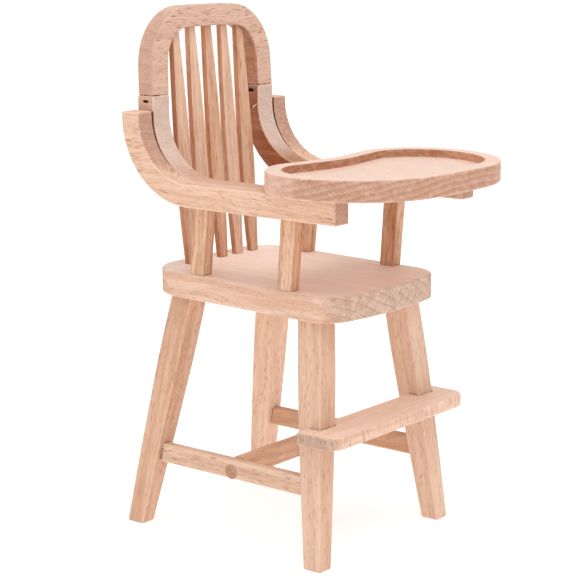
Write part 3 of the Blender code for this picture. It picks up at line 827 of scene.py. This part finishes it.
def make_bead_tree():
    """Rule that sets dried beads of uneven size, at random, along the edges that come in."""
    smallest_bead = (0.7, 0.7, 0.6)
    largest_bead = (1.5, 1.5, 1.1)
    tree = bpy.data.node_groups.new("glue_beads", "GeometryNodeTree")
    add_inputs(tree, "NodeSocketGeometry", Geometry=None)
    add_inputs(tree, "NodeSocketFloat", Spacing=0.0002, Radius=0.00013, Share=1.0, Taper=0.0)
    add_inputs(tree, "NodeSocketInt", Seed=0)
    add_inputs(tree, "NodeSocketMaterial", Glue=None)
    add_outputs(tree, Geometry="NodeSocketGeometry")
    given = tree.nodes.new("NodeGroupInput").outputs
    result = tree.nodes.new("NodeGroupOutput").inputs
    line = add_node(tree, "GeometryNodeMeshToCurve", Mesh=given["Geometry"]).outputs["Curve"]
    places = add_node(
        tree, "GeometryNodeResampleCurve", {"mode": "LENGTH"}, Curve=line, Length=given["Spacing"])
    chosen = add_node(
        tree, "FunctionNodeRandomValue", {"data_type": "BOOLEAN"}, Probability=given["Share"],
        Seed=given["Seed"]).outputs[3]
    size = add_node(
        tree, "FunctionNodeRandomValue", {"data_type": "FLOAT_VECTOR"}, _0=smallest_bead,
        _1=largest_bead, Seed=given["Seed"]).outputs[0]
    travelled = add_node(tree, "GeometryNodeSplineParameter").outputs["Factor"]
    left = add_math(tree, "MULTIPLY", given["Taper"], add_math(tree, "SUBTRACT", 1.0, travelled))
    radius = add_math(tree, "MULTIPLY", given["Radius"], add_math(tree, "SUBTRACT", 1.0, left))
    bead = add_node(tree, "GeometryNodeMeshIcoSphere", Radius=1.0, Subdivisions=1)
    beads = add_node(
        tree, "GeometryNodeInstanceOnPoints", Points=places.outputs["Curve"], Selection=chosen,
        Instance=bead.outputs["Mesh"], Scale=add_scaling(tree, size, radius))
    whole = add_node(tree, "GeometryNodeRealizeInstances", Geometry=beads.outputs["Instances"])
    smooth = add_node(tree, "GeometryNodeSetShadeSmooth", Geometry=whole.outputs["Geometry"])
    dressed = add_node(
        tree, "GeometryNodeSetMaterial", Geometry=smooth.outputs["Geometry"], Material=given["Glue"])
    tree.links.new(dressed.outputs["Geometry"], result["Geometry"])
    return tree


glue_beads = make_bead_tree()
dried_glue = mottled(
    "dried_glue", (0.055, 0.018, 0.008, 1), (0.22, 0.09, 0.04, 1), spots=2500.0, detail=2.0, shine=0.1)


def add_beads(name, lines, slot, **sizes):
    """Beads along lines, each a list of points. Sizes are the values of the beads' other inputs.

    A taper of 1 lets the beads grow from nothing at a line's start.
    """
    points = [point for line in lines for point in line]
    edges = []
    first = 0
    for line in lines:
        edges += [(first + index, first + index + 1) for index in range(len(line) - 1)]
        first += len(line)
    path = bpy.data.meshes.new(name + "_path")
    path.from_pydata(points, edges, [])
    add_extra(name, run_tree(glue_beads, name, path, Glue=dried_glue, **sizes))


def upper_edge(node, inner):
    """Points of an arm's inner face, from its front end along the top and up the bend to its tip."""
    shape = bmesh.new()
    shape.from_mesh(shaped_copy(node + "_outline", node))
    inner_faces = [face for face in shape.faces if face.normal.x * inner > 0.9]
    face = max(inner_faces, key=lambda face: face.calc_area())
    loop = [vertex.co.copy() for vertex in face.verts]
    shape.free()
    start = min(range(len(loop)), key=lambda index: loop[index].y - loop[index].z)
    end = max(range(len(loop)), key=lambda index: loop[index].z - 0.1 * loop[index].y)
    paths = []
    for step in (1, -1):
        path = [loop[start]]
        index = start
        while index != end:
            index = (index + step) % len(loop)
            path.append(loop[index])
        paths.append(path)
    return min(paths, key=lambda path: sum((b - a).length for a, b in zip(path, path[1:])))


def round_trip(low, high):
    """Closed line round a box that is flat in one direction."""
    flat = min(range(3), key=lambda axis: high[axis] - low[axis])
    first, second = (axis for axis in range(3) if axis != flat)
    line = []
    for at_first, at_second in ((0, 0), (1, 0), (1, 1), (0, 1), (0, 0)):
        corner = low.copy()
        corner[first] = (low, high)[at_first][first]
        corner[second] = (low, high)[at_second][second]
        line.append(corner)
    return line


seam_start = 0.0008
seam_inset = 0.00015
seam_drop = 0.00012
seam_lines = []
for node, inner in (("arm_right", 1), ("arm_left", -1)):
    edge_points = upper_edge(node, inner)
    level = edge_points[0].z + seam_start
    seam = []
    for before, point, after in zip(edge_points, edge_points[1:], edge_points[2:] + edge_points[-1:]):
        along = (after - before).normalized()
        if point.z > level:
            seam.append(point + Vector((inner * seam_inset, -along.z * seam_drop, along.y * seam_drop)))
    seam_lines.append(seam)
add_beads(
    "arm_glue_lines", seam_lines, "rail_beech", Spacing=0.0001, Radius=0.00019, Share=0.9, Taper=1.0,
    Seed=3)

top_layer = 0.0003
dot_lift = Vector((0, 0, 0.00008))
dot_inset = Vector((0.00012, 0.00012, 0))
butt_lines = []
for node in ("back_rail_right", "back_rail_left"):
    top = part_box(node)[1].z
    low, high = corners([point for point in solid_points(node) if point.z > top - top_layer])
    low.z = top
    high.z = top
    butt_lines.append(round_trip(low + dot_lift + dot_inset, high + dot_lift - dot_inset))
add_beads(
    "bow_glue_dots", butt_lines, "bow_beech", Spacing=0.00036, Radius=0.00011, Share=0.32, Seed=11)

end_layer = 0.0009
stretcher_points = solid_points("side_stretcher_right")
rear = max(point.y for point in stretcher_points)
low, high = corners([point for point in stretcher_points if point.y > rear - end_layer])
end_line = [
    Vector((x, high.y - (z - low.z) / (high.z - low.z) * (high.y - low.y), z))
    for x, z in ((low.x, low.z), (low.x, high.z), (high.x, high.z), (high.x, low.z))]
add_beads(
    "stretcher_glue_dots", [end_line], "side_stretcher_beech", Spacing=0.00022, Radius=0.00012,
    Share=0.5, Seed=5)


# Tray: a bean-shaped board with its grain aslant, routed to a shallow pocket that leaves a level rim,
# and glued on top of the arms. Its front edge is end grain with slanting growth rings.

least_pocket_depth = 0.001
wood = beech(
    "tray_wood", (0.6, 0.8, 0), (-0.8, 0.6, 1.3), (0.82, 0.61, 0.51), (0.73, 0.48, 0.36),
    (0.66, 0.45, 0.355), (0, 0, 6), Ring_spacing=1.1, Ring_line=0.3, Ring_shade=0.4, Streaks=0.2,
    Hairlines=0.05, Flecks=0.4, Fleck_length=1.0, Calm=0.8, Hatch=0.3)
mesh = shaped_copy("tray_board", "tray", ["-Z"], distance=glue_gap / 2, reach=0.0006)
mesh = eased(mesh, board_easing)
tray_low, tray_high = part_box("tray")
level_faces = [face.center.z for face in mesh.polygons if face.normal.z > 0.99]
pocket_floor = max(height for height in level_faces if height < tray_high.z - least_pocket_depth)


def tray_light_and_shade(middle, normal):
    """Pale on top, which is painted light, deeper on the outer edge, and deepest on the wall round the
    pocket, which is painted shade.
    """
    if normal.z > 0.7:
        return 0.0
    outwards = normal.x * middle.x + normal.y * (middle.y - (tray_low.y + tray_high.y) / 2)
    return 0.5 if outwards > 0 or middle.z < pocket_floor else 0.9


add_piece("tray_board", toned(mesh, tray_light_and_shade), wood, "tray_beech", "tray")


# Studio: a pale floor in an even white room, a soft light on the chair's right and one above it, and
# the camera where the photograph was taken from.

floor_mesh = bpy.data.meshes.new("floor")
shape = bmesh.new()
bmesh.ops.create_grid(shape, x_segments=1, y_segments=1, size=3)
shape.to_mesh(floor_mesh)
shape.free()
floor = bpy.data.objects.new("floor", floor_mesh)
bpy.context.scene.collection.objects.link(floor)
paper = bpy.data.materials.new("paper")
paper.use_nodes = True
tree = paper.node_tree
shader = tree.nodes["Principled BSDF"]
source = add_node(tree, "ShaderNodeTexCoord").outputs
mottle = add_node(tree, "ShaderNodeTexNoise", Vector=source["Object"], Scale=30.0).outputs["Fac"]
tint = add_blend(tree, mottle, (0.80, 0.80, 0.80, 1), (0.83, 0.83, 0.83, 1))
tree.links.new(tint, shader.inputs["Base Color"])
shader.inputs["Roughness"].default_value = 0.9
shader.inputs["Specular IOR Level"].default_value = 0.0
shader.inputs["Emission Color"].default_value = (1, 1, 1, 1)
shader.inputs["Emission Strength"].default_value = 0.4
floor_mesh.materials.append(paper)

white = (1, 1, 1, 1)
sky = bpy.data.worlds.new("studio")
bpy.context.scene.world = sky
sky.use_nodes = True
tree = sky.node_tree
room = tree.nodes["Background"]
room.inputs["Color"].default_value = white
room.inputs["Strength"].default_value = 0.88
backdrop = add_node(tree, "ShaderNodeBackground", Color=white, Strength=1.0)
seen = add_node(tree, "ShaderNodeLightPath").outputs["Is Camera Ray"]
whole = add_node(
    tree, "ShaderNodeMixShader", _0=seen, _1=room.outputs["Background"],
    _2=backdrop.outputs["Background"])
tree.links.new(whole.outputs["Shader"], tree.nodes["World Output"].inputs["Surface"])


def add_softbox(name, place, size, power):
    """Square light that looks at the middle of the chair."""
    target = Vector((0, 0, 0.05))
    lamp = bpy.data.lights.new(name, "AREA")
    lamp.shape = "SQUARE"
    lamp.size = size
    lamp.energy = power
    light = bpy.data.objects.new(name, lamp)
    bpy.context.scene.collection.objects.link(light)
    light.location = place
    light.rotation_mode = "QUATERNION"
    light.rotation_quaternion = (target - Vector(place)).to_track_quat("-Z", "Y")


add_softbox("key", (-0.58, -0.30, 0.30), size=0.35, power=0.2)
add_softbox("top", (-0.15, -0.25, 0.75), size=0.5, power=2.3)

azimuth = math.radians(-51.45)
elevation = math.radians(11.44)
level = math.cos(elevation)
backward = Vector((math.sin(azimuth) * level, -math.cos(azimuth) * level, math.sin(elevation)))
camera_data = bpy.data.cameras.new("camera")
camera_data.sensor_width = 36
camera_data.lens = 111.73
camera_data.clip_start = 0.01
camera = bpy.data.objects.new("camera", camera_data)
bpy.context.scene.collection.objects.link(camera)
camera.location = (-0.26118, -0.20043, 0.11354)
camera.rotation_mode = "QUATERNION"
camera.rotation_quaternion = (-backward).to_track_quat("-Z", "Y")
bpy.context.scene.camera = camera
bpy.context.scene.view_settings.view_transform = "Standard"
